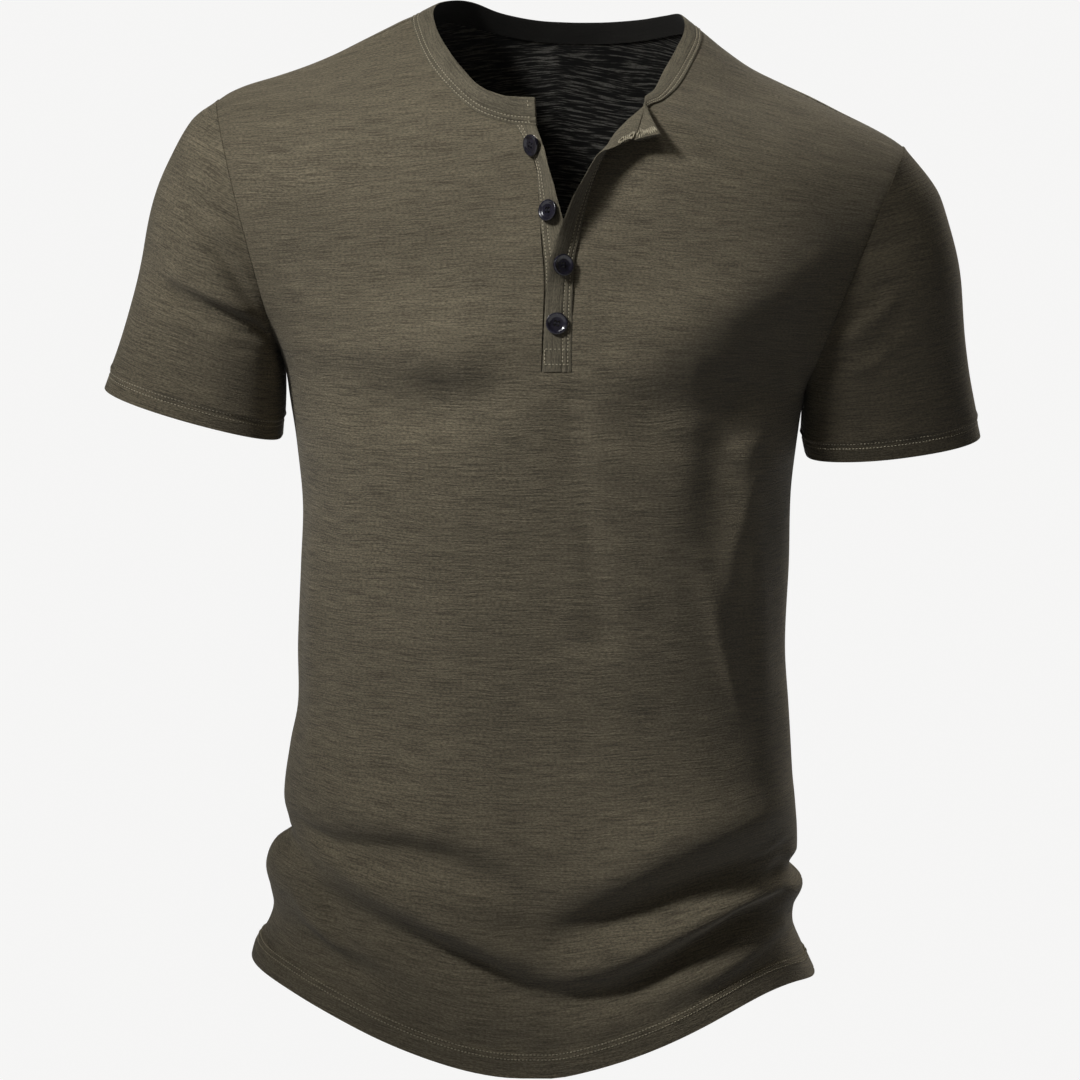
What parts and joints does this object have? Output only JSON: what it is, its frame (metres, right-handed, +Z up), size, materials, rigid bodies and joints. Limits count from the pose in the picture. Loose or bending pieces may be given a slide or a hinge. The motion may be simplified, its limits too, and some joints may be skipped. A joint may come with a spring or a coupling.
{
  "type": "short-sleeved henley shirt",
  "caption": "Short-sleeved henley shirt in olive slub jersey, shaped as it is worn, with a half-open buttoned placket, one collar corner turned out and a curved hem.",
  "frame": {"origin": "middle of the neck opening, at the height of the highest points of the shoulder seams, where the wearer's shoulders hold the shirt", "axes": "+X to the wearer's left, +Y to the wearer's back, +Z up"},
  "size_m": [0.5859, 0.2446, 0.6987],
  "materials": {
    "slub_jersey": "matt slub jersey with fine crosswise streaks",
    "jersey_trim": "matt jersey of the neckband and placket strips",
    "button": "polished"
  },
  "bodies": {
    "root": {"front": "slub_jersey", "back": "slub_jersey", "sleeve_right": "slub_jersey", "sleeve_left": "slub_jersey", "neckband": "jersey_trim", "placket_under": "jersey_trim", "placket_upper": "jersey_trim", "button_1": "button", "button_2": "button", "button_3": "button", "button_4": "button"}
  },
  "joints": []
}
